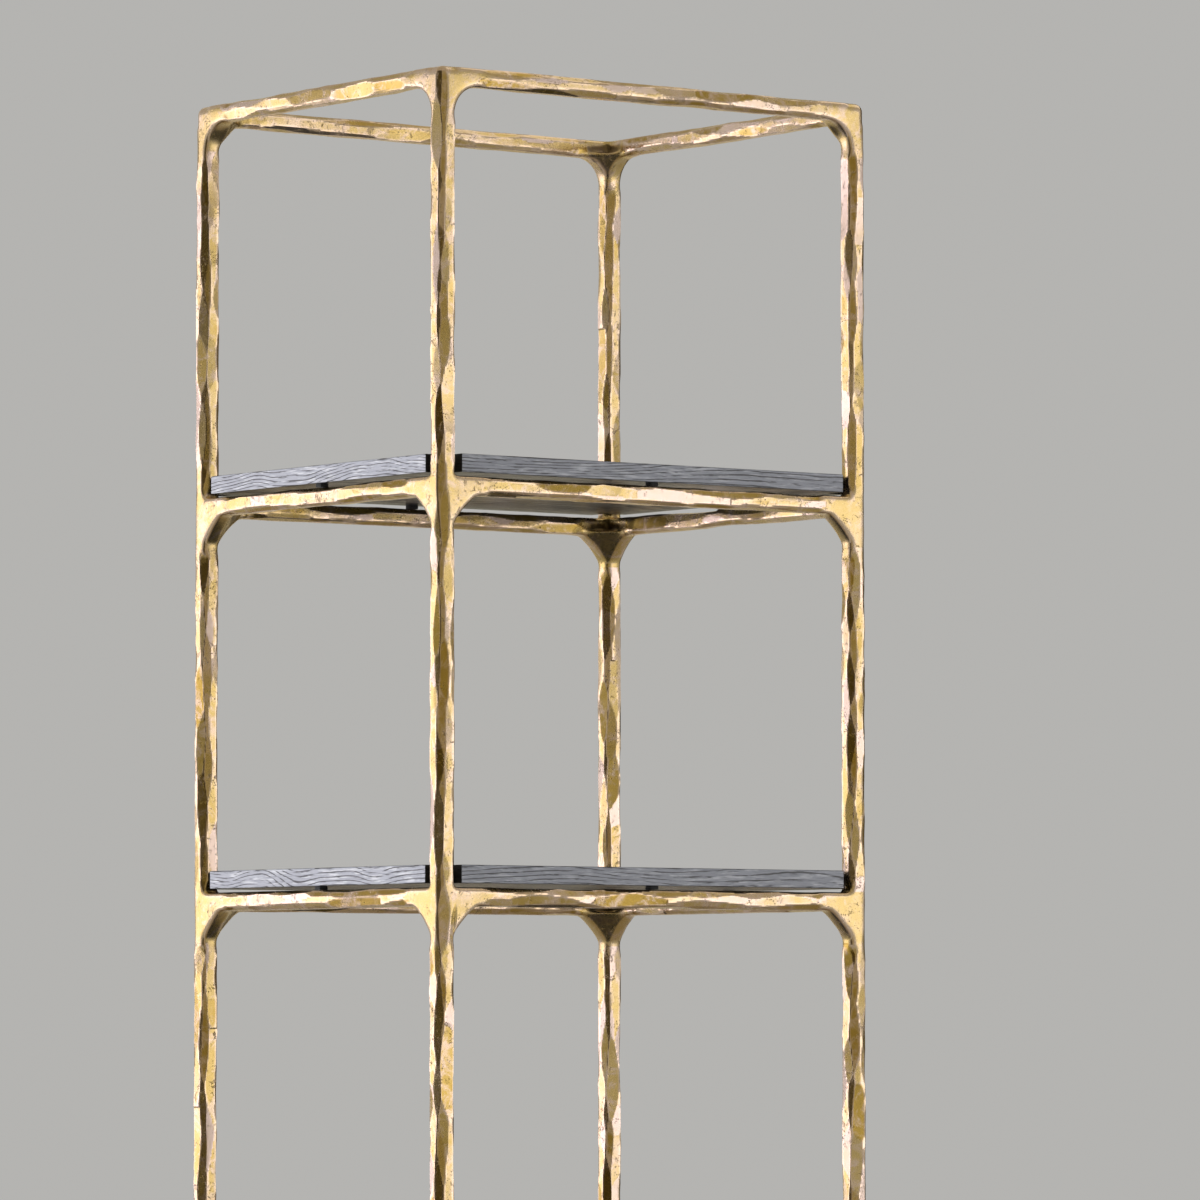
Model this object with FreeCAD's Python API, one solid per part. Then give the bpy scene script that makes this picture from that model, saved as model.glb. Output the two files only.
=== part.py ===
"""Tall open shelving unit: a hand-forged square-bar brass frame with five drop-in oak shelves.

Millimetres, +Z up. The origin is on the floor under the middle of the unit. X runs along the
wide side, Y along the narrow side, and the front is the -Y side.

The frame is four legs joined by six rings of rails. Every rail butts against two legs, and a
web is forged into the corner under each of its ends. The upper ring is left open and each of
the others carries one shelf, notched round the legs and laid on four felt pads. Each leg
stands on a screw-in levelling foot.
"""
import FreeCAD, Part

import math
import os

# Driving sizes of the whole unit
overall_width = 559.0
overall_depth = 457.0
overall_height = 2286.0
shelf_count = 5
lowest_rail_height = 161.0

# Forged bar, and the hammered facets along its corners
bar_side = 20.0
facet_length = 47.0
facet_width = 4.6
facet_swing = 2.4
joint_facet_width = 0.8
joint_margin = 4.0
hammer_turn_deg = 137.5
corner_turn_deg = 71.0

# Webs forged into the corners under the rails
web_thickness = 18.0
web_edge_chamfer = 3.5
web_facets = 3
shelf_web_reach = 34.0
shelf_web_sag = 4.5
top_web_reach = 28.0
top_web_sag = 7.0

# Shelves, and the pads that they lie on
shelf_thickness = 19.0
shelf_inset = 2.5
shelf_notch_clearance = 9.0
shelf_edge_chamfer = 1.0
pad_height = 4.0
pad_side = 10.0

# Levelling feet: a screw that turns in the leg, on a round base that stays still
stud_radius = 4.0
stud_length = 40.0
thread_clearance = 0.05
bore_spare_depth = 2.0
hex_across_flats = 13.0
hex_height = 5.0
base_radius = 9.5
base_height = 6.0
neck_radius = 3.0
neck_length = 3.5
neck_clearance = 0.05
neck_end_clearance = 0.1

# Places worked out from the driving sizes
half_bar = bar_side / 2
leg_x = overall_width / 2 - half_bar
leg_y = overall_depth / 2 - half_bar
top_rail_z = overall_height - half_bar
leg_bottom_z = base_height + hex_height
ring_count = shelf_count + 1
ring_pitch = (top_rail_z - lowest_rail_height) / shelf_count
ring_heights = [top_rail_z - ring_pitch * ring for ring in range(ring_count)]
shelf_bottom_above_rail = half_bar + pad_height

LEG_SIGNS = {
    "front_left": (-1, -1),
    "front_right": (1, -1),
    "back_left": (-1, 1),
    "back_right": (1, 1),
}

X_AXIS = FreeCAD.Vector(1, 0, 0)
Y_AXIS = FreeCAD.Vector(0, 1, 0)
Z_AXIS = FreeCAD.Vector(0, 0, 1)


def point(x, y, z):
    return FreeCAD.Vector(x, y, z)


def web_reach(ring):
    return shelf_web_reach if ring else top_web_reach


def web_sag(ring):
    return shelf_web_sag if ring else top_web_sag


# Forged bars

def hammered_width(corner, station, bar_turn_deg):
    """Width of the facet that the hammer leaves on a corner; it never repeats along the bar."""
    turn = hammer_turn_deg * station + corner_turn_deg * corner + bar_turn_deg
    return facet_width + facet_swing * math.sin(math.radians(turn))


def facet_stations(start, end):
    """Evenly spaced places along a hammered stretch, about one facet length apart."""
    count = max(1, round((end - start) / facet_length))
    return [start + (end - start) * step / count for step in range(count + 1)]


def corner_point(corner, on_next_flat, width, z):
    """A facet's edge: corner 0 is between the +X and +Y flats, and the rest follow anticlockwise."""
    x, y = (half_bar - width, half_bar) if on_next_flat else (half_bar, half_bar - width)
    for _ in range(corner):
        x, y = -y, x
    return point(x, y, z)


def polygon_face(points):
    return Part.Face(Part.makePolygon(points + points[:1]))


def forged_bar(stations, joined, plain_corners, bar_turn_deg):
    """A square bar along +Z from the first station to the last. Its corners are planed to
    facets whose width wanders, apart from the plain corners at the joined stations."""
    def width(corner, index):
        if joined[index] and corner in plain_corners:
            return joint_facet_width
        return hammered_width(corner, index, bar_turn_deg)

    edges = {}
    for corner in range(4):
        for on_next_flat in (False, True):
            edges[corner, on_next_flat] = [
                corner_point(corner, on_next_flat, width(corner, index), z)
                for index, z in enumerate(stations)
            ]
    faces = []
    for corner in range(4):
        near, far = edges[corner, False], edges[corner, True]
        for index in range(len(stations) - 1):
            faces.append(polygon_face([near[index], near[index + 1], far[index + 1], far[index]]))
        before = edges[(corner - 1) % 4, True]
        faces.append(polygon_face(near + before[::-1]))
    for index in (0, -1):
        ring = [edges[corner, side][index] for corner in range(4) for side in (False, True)]
        faces.append(polygon_face(ring))
    shell = Part.makeShell(faces)
    shell.sewShape()
    bar = Part.makeSolid(shell)
    if bar.Volume < 0:
        bar.reverse()
    return bar


def leg_stations():
    """Heights up a leg, and whether each lies in the stretch where rails and webs are joined."""
    stations, joined = [], []
    low = leg_bottom_z
    for ring in reversed(range(ring_count)):
        joint_low = ring_heights[ring] - half_bar - web_reach(ring) - joint_margin
        joint_high = ring_heights[ring] + half_bar + (joint_margin if ring else 0)
        hammered = facet_stations(low, joint_low)
        stations += (hammered if low == leg_bottom_z else hammered[1:]) + [joint_high]
        joined += [False] * (len(stations) - len(joined) - 2) + [True, True]
        low = joint_high
    return stations, joined


def forged_leg(sign_x, sign_y, bar_turn_deg):
    """A leg with the bore for its levelling screw. Its outer corner is hammered all the way."""
    outer_corner = {(1, 1): 0, (-1, 1): 1, (-1, -1): 2, (1, -1): 3}[sign_x, sign_y]
    plain_corners = [corner for corner in range(4) if corner != outer_corner]
    stations, joined = leg_stations()
    leg = forged_bar(stations, joined, plain_corners, bar_turn_deg)
    bore = Part.makeCylinder(
        stud_radius + thread_clearance, stud_length + bore_spare_depth, point(0, 0, leg_bottom_z)
    )
    leg = leg.cut(bore)
    leg.translate(point(sign_x * leg_x, sign_y * leg_y, 0))
    return leg


def forged_rail(clear_length, reach, lower_corners, bar_turn_deg):
    """A rail along +Z between two legs. Its lower corners stay plain where the webs join it."""
    web_end = reach + joint_margin
    hammered = facet_stations(web_end, clear_length - web_end)
    stations = [0.0] + hammered + [clear_length]
    joined = [True, True] + [False] * (len(hammered) - 2) + [True, True]
    return forged_bar(stations, joined, lower_corners, bar_turn_deg)


def wide_rail(ring, sign_y, bar_turn_deg):
    """A rail along X, between a left and a right leg."""
    rail = forged_rail(2 * (leg_x - half_bar), web_reach(ring), (0, 3), bar_turn_deg)
    rail.rotate(point(0, 0, 0), Y_AXIS, 90)
    rail.translate(point(half_bar - leg_x, sign_y * leg_y, ring_heights[ring]))
    return rail


def deep_rail(ring, sign_x, bar_turn_deg):
    """A rail along Y, between a front and a back leg."""
    rail = forged_rail(2 * (leg_y - half_bar), web_reach(ring), (0, 1), bar_turn_deg)
    rail.rotate(point(0, 0, 0), X_AXIS, -90)
    rail.translate(point(sign_x * leg_x, half_bar - leg_y, ring_heights[ring]))
    return rail


# Webs

def web(reach, sag):
    """A three-cornered web: along +X under the rail, down -Z on the leg, and between them a
    hollow of a few hammered flats, with its long edges planed off."""
    along = point(reach, 0, 0)
    down = point(0, 0, -reach)
    pull = sag / math.sqrt(2)
    deepest = point(reach / 2 - pull, 0, -reach / 2 + pull)
    hollow = Part.Arc(along, deepest, down).toShape().discretize(web_facets + 1)
    plate = polygon_face([point(0, 0, 0)] + hollow).extrude(point(0, web_thickness, 0))
    plate.translate(point(0, -web_thickness / 2, 0))
    long_edges = [
        edge for edge in plate.Edges
        if min(edge.BoundBox.XLength, edge.BoundBox.ZLength) > web_edge_chamfer / 2
    ]
    return plate.makeChamfer(web_edge_chamfer, long_edges)


def ring_webs(ring):
    """The eight webs under one ring of rails, two at each leg."""
    solids = []
    for sign_x, sign_y in LEG_SIGNS.values():
        for direction_deg, offset_x, offset_y in (
            (0 if sign_x < 0 else 180, -sign_x * half_bar, 0),
            (90 if sign_y < 0 else 270, 0, -sign_y * half_bar),
        ):
            piece = web(web_reach(ring), web_sag(ring))
            piece.rotate(point(0, 0, 0), Z_AXIS, direction_deg)
            piece.translate(point(
                sign_x * leg_x + offset_x,
                sign_y * leg_y + offset_y,
                ring_heights[ring] - half_bar,
            ))
            solids.append(piece)
    return Part.makeCompound(solids)


# Shelves and pads

def shelf_board(rail_z):
    """An oak board as large as its ring of rails, notched square round each leg."""
    edge_x = leg_x + half_bar - shelf_inset
    edge_y = leg_y + half_bar - shelf_inset
    notch_x = leg_x - half_bar - shelf_notch_clearance
    notch_y = leg_y - half_bar - shelf_notch_clearance
    quarter = [(edge_x, notch_y), (notch_x, notch_y), (notch_x, edge_y)]
    outline = []
    for sign_x, sign_y in ((1, 1), (-1, 1), (-1, -1), (1, -1)):
        corner = quarter if sign_x * sign_y > 0 else quarter[::-1]
        outline += [point(sign_x * x, sign_y * y, 0) for x, y in corner]
    board = polygon_face(outline).extrude(point(0, 0, shelf_thickness))
    eased = [edge for edge in board.Edges if edge.BoundBox.ZLength < shelf_thickness / 2]
    board = board.makeChamfer(shelf_edge_chamfer, eased)
    board.translate(point(0, 0, rail_z + shelf_bottom_above_rail))
    return board


def shelf_pads(rail_z):
    """Four square felt pads under a shelf, one on the middle of each rail."""
    places = ((leg_x, 0), (-leg_x, 0), (0, leg_y), (0, -leg_y))
    return Part.makeCompound([
        Part.makeBox(
            pad_side, pad_side, pad_height,
            point(x - pad_side / 2, y - pad_side / 2, rail_z + half_bar),
        )
        for x, y in places
    ])


# Levelling feet

def turned(profile):
    """A solid of revolution about Z from (radius, height) points."""
    points = [point(radius, 0, z) for radius, z in profile]
    return polygon_face(points).revolve(point(0, 0, 0), Z_AXIS, 360)


def levelling_screw(x, y):
    """Neck in the base, hexagon to turn it by, and a shank up into the leg."""
    shank_top = leg_bottom_z + stud_length
    shank = turned([
        (0, base_height - neck_length),
        (neck_radius, base_height - neck_length),
        (neck_radius, base_height + hex_height / 2),
        (stud_radius, base_height + hex_height / 2),
        (stud_radius, shank_top),
        (0, shank_top),
    ])
    corner_radius = hex_across_flats / math.sqrt(3)
    corners = [
        point(corner_radius * math.cos(turn), corner_radius * math.sin(turn), base_height)
        for turn in (math.radians(60 * step) for step in range(6))
    ]
    hexagon = polygon_face(corners).extrude(point(0, 0, hex_height))
    screw = shank.fuse(hexagon).removeSplitter()
    screw.translate(point(x, y, 0))
    return screw


def foot_base(x, y):
    """The round base on the floor, with the blind socket that the screw's neck turns in."""
    socket_radius = neck_radius + neck_clearance
    socket_bottom = base_height - neck_length - neck_end_clearance
    base = turned([
        (0, 0),
        (base_radius, 0),
        (base_radius, base_height),
        (socket_radius, base_height),
        (socket_radius, socket_bottom),
        (0, socket_bottom),
    ])
    base.translate(point(x, y, 0))
    return base


# Assembly

def build():
    """Every node of the unit by name."""
    nodes = {}
    bar_turn_deg = 0.0
    for name, (sign_x, sign_y) in LEG_SIGNS.items():
        nodes[f"leg_{name}"] = forged_leg(sign_x, sign_y, bar_turn_deg)
        nodes[f"levelling_screw_{name}"] = levelling_screw(sign_x * leg_x, sign_y * leg_y)
        nodes[f"foot_base_{name}"] = foot_base(sign_x * leg_x, sign_y * leg_y)
        bar_turn_deg += hammer_turn_deg
    for ring, rail_z in enumerate(ring_heights):
        level = f"level_{ring}" if ring else "top"
        for side, make, sign in (
            ("front", wide_rail, -1),
            ("back", wide_rail, 1),
            ("left", deep_rail, -1),
            ("right", deep_rail, 1),
        ):
            nodes[f"rail_{level}_{side}"] = make(ring, sign, bar_turn_deg)
            bar_turn_deg += hammer_turn_deg
        nodes[f"webs_{level}"] = ring_webs(ring)
        if ring:
            nodes[f"shelf_{ring}"] = shelf_board(rail_z)
            nodes[f"shelf_pads_{ring}"] = shelf_pads(rail_z)
    return nodes


os.makedirs("parts", exist_ok=True)
for name, shape in build().items():
    shape.exportStep(f"parts/{name}.step")
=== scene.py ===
"""Looks of the tall open shelving unit: a hammered brass frame, charcoal oak shelves on felt
pads, and screw-in levelling feet, on a pale studio floor.

Metres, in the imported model's own frame: +Z up, the origin on the floor under the middle, and
the front at -Y.
"""

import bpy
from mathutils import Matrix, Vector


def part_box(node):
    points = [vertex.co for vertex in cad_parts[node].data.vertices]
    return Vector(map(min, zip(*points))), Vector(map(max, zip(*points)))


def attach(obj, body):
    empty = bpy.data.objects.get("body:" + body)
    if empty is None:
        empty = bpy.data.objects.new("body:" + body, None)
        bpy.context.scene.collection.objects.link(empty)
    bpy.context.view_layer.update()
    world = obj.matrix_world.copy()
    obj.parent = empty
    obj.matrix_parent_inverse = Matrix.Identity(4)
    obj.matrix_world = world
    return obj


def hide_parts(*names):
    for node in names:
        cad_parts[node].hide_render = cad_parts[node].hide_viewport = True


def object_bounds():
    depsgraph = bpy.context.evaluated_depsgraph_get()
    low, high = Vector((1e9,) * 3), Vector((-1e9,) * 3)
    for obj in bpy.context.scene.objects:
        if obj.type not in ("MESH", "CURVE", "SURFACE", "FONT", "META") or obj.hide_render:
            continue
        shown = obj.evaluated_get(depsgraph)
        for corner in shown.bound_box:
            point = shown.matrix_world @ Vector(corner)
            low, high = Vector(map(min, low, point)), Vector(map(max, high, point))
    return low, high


bl_info = {
    "name": "Forged Shelving Unit",
    "version": (1, 0, 0),
    "blender": (4, 5, 0),
    "location": "View3D > Sidebar > Shelving",
    "description": "Dresses the shelving unit in hammered brass, charcoal oak, felt and steel",
    "category": "Object",
}

import math
from collections import namedtuple

import bmesh
import bpy
import numpy as np
from mathutils import Matrix, Vector

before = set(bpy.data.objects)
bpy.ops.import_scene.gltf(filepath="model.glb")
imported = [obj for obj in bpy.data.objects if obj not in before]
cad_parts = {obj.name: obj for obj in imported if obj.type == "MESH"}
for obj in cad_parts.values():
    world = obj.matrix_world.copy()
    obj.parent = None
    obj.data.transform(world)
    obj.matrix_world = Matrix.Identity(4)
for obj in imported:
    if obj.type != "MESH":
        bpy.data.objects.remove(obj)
cad_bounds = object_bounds()

# Places of the forged frame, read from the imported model
RINGS = ["top"] + [f"level_{n}" for n in range(1, 6)]
SHELVES = [f"shelf_{n}" for n in range(1, 6)]
CORNERS = {
    "front_left": (-1, -1),
    "front_right": (1, -1),
    "back_left": (-1, 1),
    "back_right": (1, 1),
}
SIDES = ("front", "back", "left", "right")

X_AXIS = Vector((1, 0, 0))
Y_AXIS = Vector((0, 1, 0))
Z_AXIS = Vector((0, 0, 1))


def middle(node):
    """The middle of a node's box."""
    low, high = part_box(node)
    return (low + high) / 2


def half_size(node):
    """Half the size of a node's box."""
    low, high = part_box(node)
    return (high - low) / 2


LEG_X = middle("leg_front_right").x
LEG_Y = middle("leg_back_right").y
HALF_BAR = half_size("leg_front_right").x
HALF_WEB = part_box("webs_top")[1].y - LEG_Y
RING_Z = {ring: middle(f"rail_{ring}_front").z for ring in RINGS}
WEB_REACH = {ring: 2 * half_size(f"webs_{ring}").z for ring in RINGS}

# Rows of strikes round a bar, with each third one on a side and the rest on the corners
TURNS = 12
TURNS_PER_SIDE = 3
# The rows on a leg's two fuller corners
KEEN_TURNS = (4, 5, 10, 11)

# How far from the knuckles, where legs, rails and webs meet, their softening ends, strikes
# have their full force, the rails' own pieces start and the edges of strikes turn crisp
SOFT_END = 0.012
FULL_FORCE = 0.014
RAIL_START = 0.018
CRISP_START = 0.010

# The levelling screws
NECK_RADIUS = 0.003
THREAD_RADIUS = 0.004
THREAD_PITCH = 0.00125
CORE_RADIUS = 0.0034

# The long lens that stood in front of the unit
CAMERA_PLACE = (-4.743, -6.516, 1.297)
CAMERA_TILT = math.radians(93.242)
CAMERA_TURN = math.radians(-36.59)
CAMERA_LENS = 225.96
CAMERA_SENSOR = 36

# Lamps, all of them aimed at one point, with power in watts
Lamp = namedtuple("Lamp", "name place width height power colour seen")
LAMP_TARGET = (0, 0, 1.4)
LAMPS = (
    Lamp("lamp_right", (2.4, -3.2, 1.6), 1.3, 2.5, 13.2, (1.0, 0.96, 0.96), True),
    Lamp("lamp_left", (-2.4, 3.2, 1.5), 1.6, 2.5, 21.8, (0.98, 0.91, 1.0), True),
    Lamp("fill_left", (-4.2, 0.2, 1.9), 1.4, 2.4, 125, (0.95, 0.97, 1.0), False),
    Lamp("fill_right", (4.2, -0.7, 2.4), 1.4, 2.4, 12, (0.95, 0.97, 1.0), False),
    Lamp("lamp_over", (2.9, 0.0, 4.9), 2.6, 2.6, 12, (1.0, 0.97, 0.92), True),
)

# Cloths that hang round the unit for the brass to show, as turns about it from +X in degrees
DARK_TURN = 14.4
DARK_SPAN = 55
BRIGHT_TURN = 64.3
BRIGHT_SPAN = 44.6
CLOTH_RADIUS = 3.6
CLOTH_HEIGHT = 4.4


# Sizes and colours that a user would change

class ShelvingSettings(bpy.types.PropertyGroup):
    """Sizes and colours of the shelving unit's surfaces."""

    seed: bpy.props.IntProperty(
        name="Hammering", description="Which pattern the hammer leaves", default=11, min=0)
    mesh_step: bpy.props.FloatProperty(
        name="Mesh Step", description="Spacing of the forged surface's mesh",
        default=0.00165, min=0.001, max=0.006, unit="LENGTH", precision=4)
    strike_spacing: bpy.props.FloatProperty(
        name="Strike Spacing", description="Mean distance between hammer strikes along a bar",
        default=0.046, min=0.01, unit="LENGTH", precision=4)
    rail_force: bpy.props.FloatProperty(
        name="Rail Force", description="How hard the rails are struck, next to the legs",
        default=0.65, min=0.0, max=1.0, subtype="FACTOR")
    squareness: bpy.props.FloatProperty(
        name="Squareness", description="How square a bar is before its strikes, 2 being round",
        default=4.1, min=2.0)
    keen_squareness: bpy.props.FloatProperty(
        name="Keen Squareness", description="The same for the two fuller corners of a leg",
        default=9.0, min=2.0)
    side_cut: bpy.props.FloatProperty(
        name="Side Cut", description="Depth of the deepest strikes on a bar's sides",
        default=0.0008, min=0.0, unit="LENGTH", precision=4)
    corner_cut: bpy.props.FloatProperty(
        name="Corner Cut", description="Depth of the deepest strikes on a bar's corners",
        default=0.0035, min=0.0, unit="LENGTH", precision=4)
    knuckle_rounds: bpy.props.IntProperty(
        name="Knuckle Rounds", description="How softly webs, rails and legs run together",
        default=11, min=0)
    top_round: bpy.props.FloatProperty(
        name="Top Round", description="Radius of the frame's upper corners",
        default=0.009, min=0.001, unit="LENGTH", precision=4)
    top_web_sag: bpy.props.FloatProperty(
        name="Top Web Hollow", description="How deep the webs of the upper ring are hollowed",
        default=0.0075, min=0.001, unit="LENGTH", precision=4)
    shelf_web_sag: bpy.props.FloatProperty(
        name="Shelf Web Hollow", description="How deep the webs under the shelves are hollowed",
        default=0.002, min=0.001, unit="LENGTH", precision=4)
    gusset_share: bpy.props.FloatProperty(
        name="Gusset Share", description="How far the crook between two webs is filled, of 1",
        default=0.95, min=0.05, max=1.0, subtype="FACTOR")
    web_trim: bpy.props.FloatProperty(
        name="Web Trim", description="How much the forging draws in the webs under the shelves",
        default=0.005, min=0.0, unit="LENGTH", precision=4)
    notch_clearance: bpy.props.FloatProperty(
        name="Notch Clearance", description="Between a leg and the shelf's notch",
        default=0.009, min=0.0, unit="LENGTH", precision=4)
    arris: bpy.props.FloatProperty(
        name="Shelf Arris", description="Width of the eased edges of a shelf",
        default=0.0009, min=0.0, unit="LENGTH", precision=4)
    brass_pale: bpy.props.FloatVectorProperty(
        name="Pale Brass", description="Brass on the brightest strikes", subtype="COLOR",
        default=(0.91, 0.715, 0.61), min=0.0, max=1.0)
    brass_gold: bpy.props.FloatVectorProperty(
        name="Golden Brass", description="Brass on the middling strikes", subtype="COLOR",
        default=(0.72, 0.53, 0.21), min=0.0, max=1.0)
    brass_deep: bpy.props.FloatVectorProperty(
        name="Deep Brass", description="Brass on the duller strikes", subtype="COLOR",
        default=(0.54, 0.36, 0.08), min=0.0, max=1.0)
    brass_rose: bpy.props.FloatVectorProperty(
        name="Rose Brass", description="The copper-tinged patches", subtype="COLOR",
        default=(0.86, 0.66, 0.52), min=0.0, max=1.0)
    patina: bpy.props.FloatVectorProperty(
        name="Patina", description="Brown tarnish in pits and hollows", subtype="COLOR",
        default=(0.10, 0.06, 0.03), min=0.0, max=1.0)
    oak_grain: bpy.props.FloatVectorProperty(
        name="Oak Grain", description="Open pores and growth lines", subtype="COLOR",
        default=(0.022, 0.024, 0.030), min=0.0, max=1.0)
    oak_face: bpy.props.FloatVectorProperty(
        name="Oak Face", description="Charcoal stain on the upper and lower faces",
        subtype="COLOR", default=(0.055, 0.058, 0.066), min=0.0, max=1.0)
    # Painted reflection: the edges' pale grey and the pale streaks below stand partly for a
    # limed stain and partly for the side lamp's sheen on the brushed edges
    oak_edge_and_sheen: bpy.props.FloatVectorProperty(
        name="Oak Edge", description="Brushed stain on the edges", subtype="COLOR",
        default=(0.31, 0.322, 0.36), min=0.0, max=1.0)
    oak_streak_sheen: bpy.props.FloatVectorProperty(
        name="Oak Streaks", description="Pale brushed streaks on the edges", subtype="COLOR",
        default=(0.76, 0.76, 0.77), min=0.0, max=1.0)
    stage_colour: bpy.props.FloatVectorProperty(
        name="Stage", description="Floor and background", subtype="COLOR",
        default=(0.46, 0.455, 0.44), min=0.0, max=1.0)


# Shader maths

class Signal:
    """A socket of a finish's node tree. Arithmetic on it adds Math nodes."""

    def __init__(self, finish, socket):
        self.finish = finish
        self.socket = socket

    def math(self, operation, *values):
        """Adds a Math node for the operation on the values."""
        return self.finish.add("Math", inputs=dict(enumerate(values)), operation=operation)

    def __add__(self, other):
        return self.math("ADD", self, other)

    def __sub__(self, other):
        return self.math("SUBTRACT", self, other)

    def __rsub__(self, other):
        return self.math("SUBTRACT", other, self)

    def __mul__(self, other):
        return self.math("MULTIPLY", self, other)

    def __truediv__(self, other):
        return self.math("DIVIDE", self, other)

    __radd__ = __add__
    __rmul__ = __mul__


class Finish:
    """A material, or the world, built up from nodes."""

    def __init__(self, tree):
        self.tree = tree
        self.tree.nodes.clear()

    def add(self, kind, inputs=None, output=0, **settings):
        """Adds a node of the kind, sets it, then fills or links its inputs."""
        node = self.tree.nodes.new("ShaderNode" + kind)
        for name, value in settings.items():
            setattr(node, name, value)
        for name, value in (inputs or {}).items():
            if isinstance(value, Signal):
                self.tree.links.new(value.socket, node.inputs[name])
            else:
                node.inputs[name].default_value = value
        return Signal(self, node.outputs[output]) if len(node.outputs) else None

    def step(self, value, low, high):
        """Rises smoothly from 0 at low to 1 at high."""
        return self.add(
            "MapRange", {"Value": value, "From Min": low, "From Max": high},
            interpolation_type="SMOOTHSTEP")

    def mix(self, factor, first, second):
        """The first colour at factor 0 and the second at 1."""
        colours = [
            value if isinstance(value, Signal) else (*value, 1.0)
            for value in (first, second)
        ]
        return self.add(
            "Mix", {0: factor, 6: colours[0], 7: colours[1]}, output=2, data_type="RGBA")

    def noise(self, place, scale, detail=3.0, roughness=0.5, distortion=0.0):
        """Soft noise about 0.5."""
        return self.add("TexNoise", {
            "Vector": place, "Scale": scale, "Detail": detail, "Roughness": roughness,
            "Distortion": distortion,
        })

    def place(self, scale=(1, 1, 1), centre=(0, 0, 0)):
        """Object coordinates, from a centre, stretched by a scale."""
        coordinates = self.add("TexCoord", output="Object")
        moved = self.add(
            "VectorMath", {0: coordinates, 1: tuple(-c for c in centre)}, operation="ADD")
        return self.add("VectorMath", {0: moved, 1: scale}, operation="MULTIPLY")

    def surface(self, bump_height=None, bump_depth=0.001, **inputs):
        """The principled shader on the material's output."""
        if bump_height is not None:
            inputs["Normal"] = self.add(
                "Bump", {"Height": bump_height, "Distance": bump_depth, "Strength": 1.0})
        shader = self.add("BsdfPrincipled", inputs)
        self.add("OutputMaterial", {"Surface": shader})


def new_finish(name):
    """A new material and the finish that fills its nodes."""
    material = bpy.data.materials.new(name)
    material.use_nodes = True
    return material, Finish(material.node_tree)


# Finishes

def hammered_brass(settings):
    """Aged brass: each strike with its own tone, rose patches, brown tarnish in the pits, and
    thin painted shade lines along the borders of strikes.
    """
    material, finish = new_finish("hammered_brass")
    place = finish.place()
    tone = finish.add("Attribute", output="Fac", attribute_name="strike_tone")
    hollow = finish.add("Attribute", output="Fac", attribute_name="hollow")
    seam_shade = finish.add("Attribute", output="Fac", attribute_name="seam_shade")
    cloud = finish.noise(place, 26.0, 4.0, 0.6)
    speckle = finish.noise(place, 210.0, 6.0, 0.65)
    blot = finish.noise(finish.place(centre=(0.3, 0.7, 0.1)), 48.0, 6.0, 0.72, 0.6)

    pit_dots = finish.add(
        "TexVoronoi", {"Vector": place, "Scale": 380.0, "Randomness": 1.0}, feature="F1")
    pit_area = finish.step(finish.noise(place, 45.0, 3.0, 0.6), 0.54, 0.66)
    pits = (1.0 - finish.step(pit_dots, 0.10, 0.42)) * pit_area * 0.45
    smear = finish.noise(place, 95.0, 5.0, 0.75, 1.2)
    scars = finish.step(smear, 0.56, 0.68) * finish.step(cloud, 0.44, 0.58)
    tarnish = finish.step(hollow + (blot - 0.5) * 2.2, 0.30, 0.85)
    worn = finish.step(hollow * -1.0 + (cloud - 0.5) * 0.6, 0.25, 0.75)

    shade = tone + (cloud - 0.5) * 0.7
    dull = finish.mix(
        finish.step(shade, 0.0, 0.5), settings.brass_deep, settings.brass_gold)
    ground = finish.mix(finish.step(shade, 0.4, 0.95), dull, settings.brass_pale)
    rosy = finish.mix(finish.step(blot, 0.48, 0.66) * 0.8, ground, settings.brass_rose)
    stained = finish.mix(tarnish * 0.75, rosy, settings.patina)
    # Painted shade: thin dark lines on the duller side of strike borders stand for the shading
    # at facet edges, as well as for tarnish settled there
    crease_shade = finish.step(seam_shade, 0.25, 0.9) * finish.step(smear, 0.42, 0.56) * 0.3
    dark = pits + scars * 0.5 + crease_shade
    pitted_and_seam_shaded = finish.mix(dark.math("MINIMUM", dark, 0.92), stained, settings.patina)
    rough = 0.22 + tone * 0.05 + speckle * 0.06 + tarnish * 0.2 + pits * 0.25
    finish.surface(
        bump_height=speckle * 0.15 + cloud * 0.5 - pits * 0.8 - scars * 0.35,
        bump_depth=0.00045,
        **{
            "Base Color": finish.mix(worn * 0.5, pitted_and_seam_shaded, settings.brass_pale),
            "Metallic": 1.0 - pits * 0.45,
            "Roughness": rough - worn * 0.05,
        })
    return material


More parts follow.
